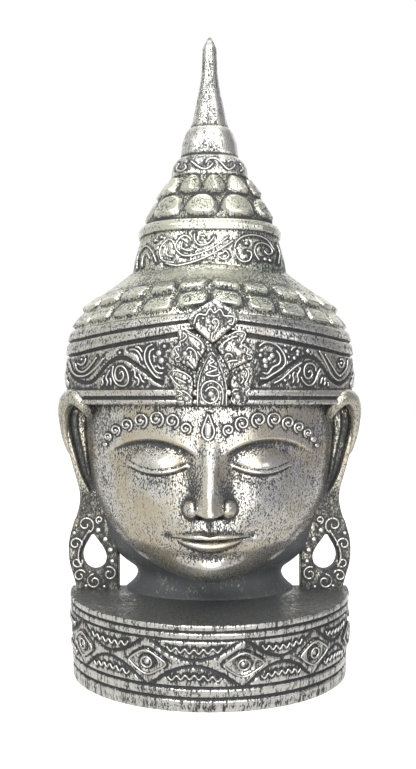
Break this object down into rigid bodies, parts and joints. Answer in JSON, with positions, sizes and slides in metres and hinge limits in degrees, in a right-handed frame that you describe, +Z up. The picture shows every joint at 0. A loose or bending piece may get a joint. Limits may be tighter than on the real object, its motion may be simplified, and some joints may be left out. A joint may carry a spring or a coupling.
{
  "type": "carved buddha head",
  "caption": "Silver-painted wooden Buddha head, half-round with a flat back: crown with a leaf ornament, curled hair, spired topknot and pierced ear lobes, carved in one with its D-shaped base.",
  "frame": {"origin": "middle of the object's box at the underside of the base", "axes": "+Z up along the carving, -Y the way the face looks, +Y out of the flat back, +X to the right as seen from the front"},
  "size_m": [0.184, 0.081, 0.4],
  "materials": {
    "silver_painted_wood": "silver paint rubbed back over black, dark in the cuts, with specks and upright grain showing"
  },
  "bodies": {
    "root": {"carved_buddha_head": "silver_painted_wood"}
  },
  "joints": []
}
